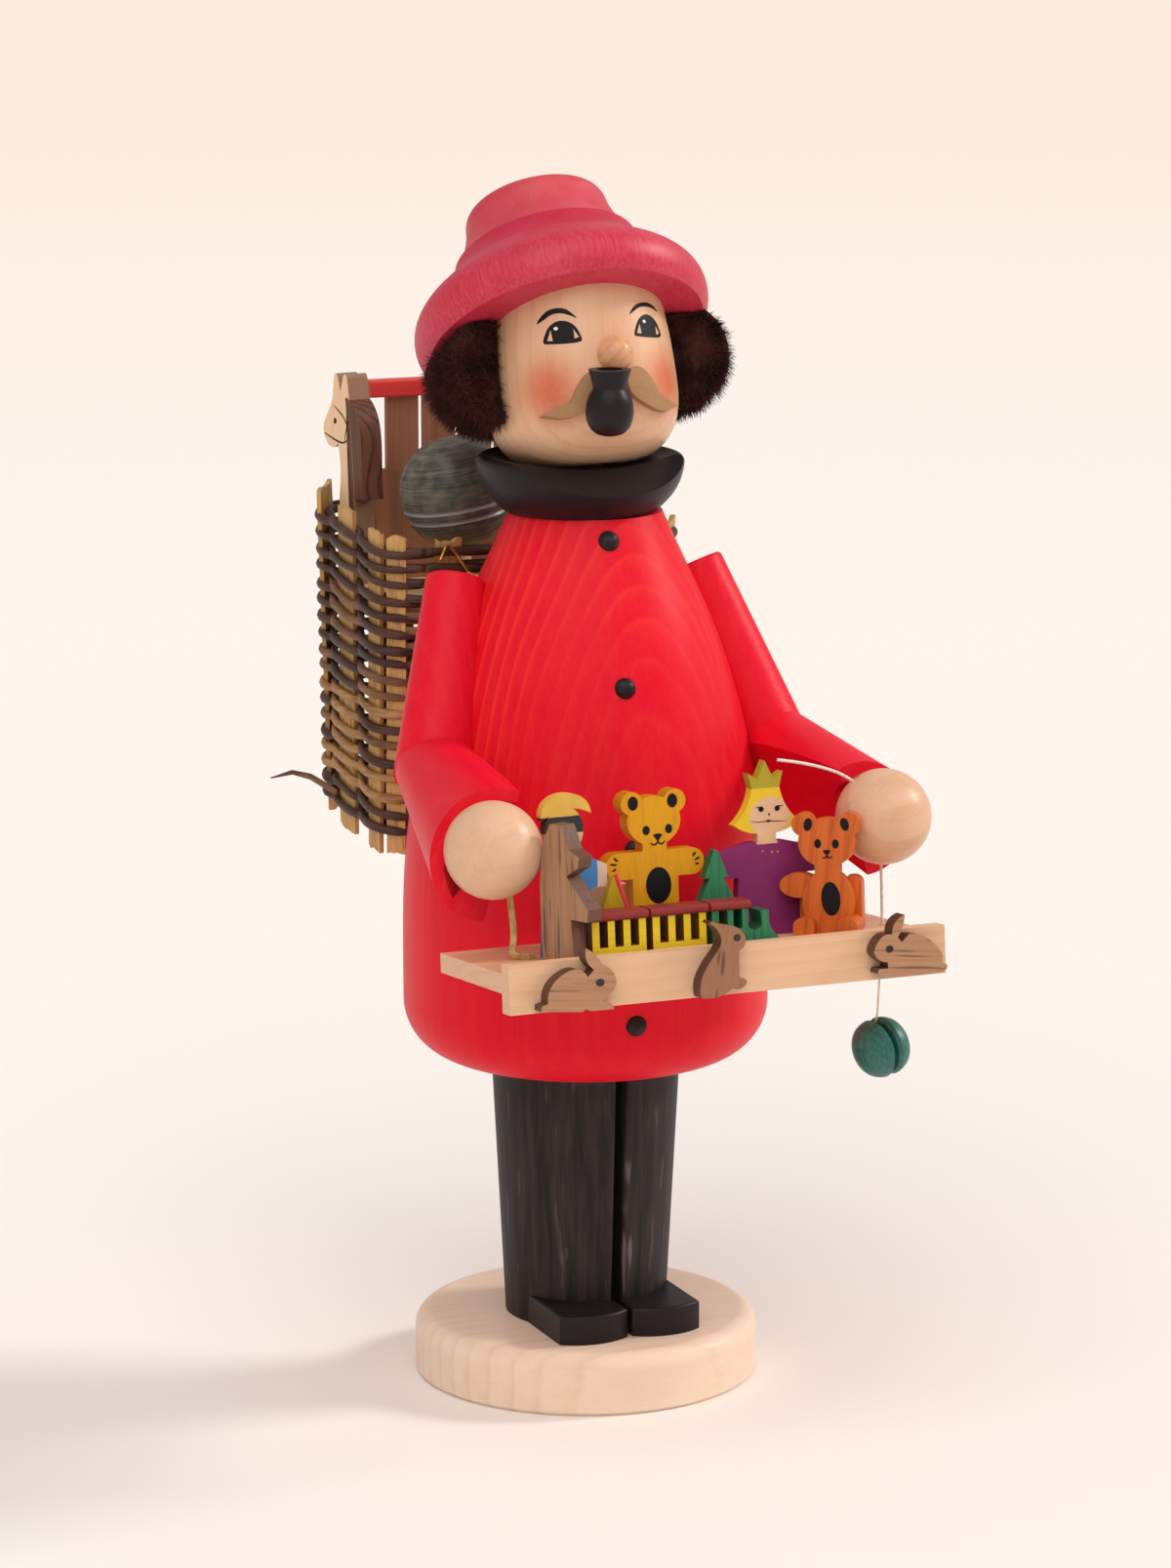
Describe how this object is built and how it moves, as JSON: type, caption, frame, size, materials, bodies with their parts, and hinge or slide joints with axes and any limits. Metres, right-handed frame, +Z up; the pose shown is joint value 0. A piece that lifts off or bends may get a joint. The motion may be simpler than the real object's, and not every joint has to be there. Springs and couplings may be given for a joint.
{
  "type": "incense smoker figure",
  "caption": "Turned wooden toy pedlar incense smoker: hollow red figure with pipe, hat, toy tray, pack basket and hanging yo-yo, lifting off a stand that carries the incense cone.",
  "frame": {"origin": "centre of the base disc's underside", "axes": "+Z up along the figure's turned axis, the figure faces -Y, +X is the figure's left"},
  "size_m": [0.136, 0.1875, 0.3205],
  "materials": {
    "pale_wood": "oiled maple and beech",
    "black_wood": "black stain, satin",
    "button_iron": "black lacquered nail heads",
    "red_wood": "red stain, satin lacquer",
    "fur": "dark brown fur",
    "tan_wood": "carved, satin",
    "yellow_wood": "yellow stain",
    "orange_wood": "orange stain",
    "painted_wood": "painted flat",
    "green_wood": "green stain",
    "roof_wood": "red-brown stain",
    "walnut": "oiled walnut with burnt edges",
    "navy_wood": "blue stain",
    "olive_wood": "olive stain",
    "lace_leather": "thin lace",
    "twine": "twisted thread",
    "teal_wood": "dark teal stain",
    "wicker": "woven willow",
    "grey_wood": "turned, grey-green stain",
    "brass_wire": "bare wire",
    "dish_metal": "pressed sheet",
    "incense": "pressed wood dust"
  },
  "bodies": {
    "stand": {"base_disc": "pale_wood", "leg_right": "black_wood", "leg_left": "black_wood", "shoe_right": "black_wood", "shoe_left": "black_wood", "leg_plate": "pale_wood", "leg_dowels": "pale_wood", "incense_dish": "dish_metal", "incense_cone": "incense"},
    "figure": {"tray_floor": "pale_wood", "tray_rail": "pale_wood", "hand_right": "pale_wood", "hand_left": "pale_wood", "head": "pale_wood", "nose": "pale_wood", "toy_block": "pale_wood", "horse_head": "pale_wood", "crib_slats": "pale_wood", "basket_shelf": "pale_wood", "basket_floor": "pale_wood", "arm_dowels": "pale_wood", "tray_dowels": "pale_wood", "neck_peg": "pale_wood", "collar": "black_wood", "pipe_bowl": "black_wood", "pipe_stem": "black_wood", "coat_buttons": "button_iron", "coat": "red_wood", "upper_arm_right": "red_wood", "upper_arm_left": "red_wood", "forearm_right": "red_wood", "forearm_left": "red_wood", "hat": "red_wood", "crib_rail": "red_wood", "hair": "fur", "moustache": "tan_wood", "bear_yellow": "yellow_wood", "coach_bodies": "yellow_wood", "bear_orange": "orange_wood", "puppet_princess": "painted_wood", "puppet_jester": "painted_wood", "fir_tree": "green_wood", "train_engine": "green_wood", "train_roofs": "roof_wood", "boat_yard": "roof_wood", "hare_crouching": "walnut", "hare_sitting": "walnut", "hare_resting": "walnut", "toy_dog": "walnut", "horse_mane": "walnut", "boat_hull": "navy_wood", "boat_sail": "olive_wood", "hand_lace": "lace_leather", "cord_upper": "twine", "basket_wall": "wicker", "basket_stakes": "wicker", "toy_ball": "grey_wood", "tie_wires": "brass_wire"},
    "yo_yo": {"cord_hang": "twine", "yo_yo": "teal_wood"}
  },
  "joints": [
    {"name": "figure_lift", "type": "slide", "parent": "stand", "child": "figure", "axis": [0, 0, 1], "range_m": [0, 0.06]},
    {"name": "yo_yo_swing", "type": "hinge", "parent": "figure", "child": "yo_yo", "pos_m": [0.054, -0.0694, 0.127], "axis": [0, 1, 0], "range_deg": [-20, 20]}
  ]
}
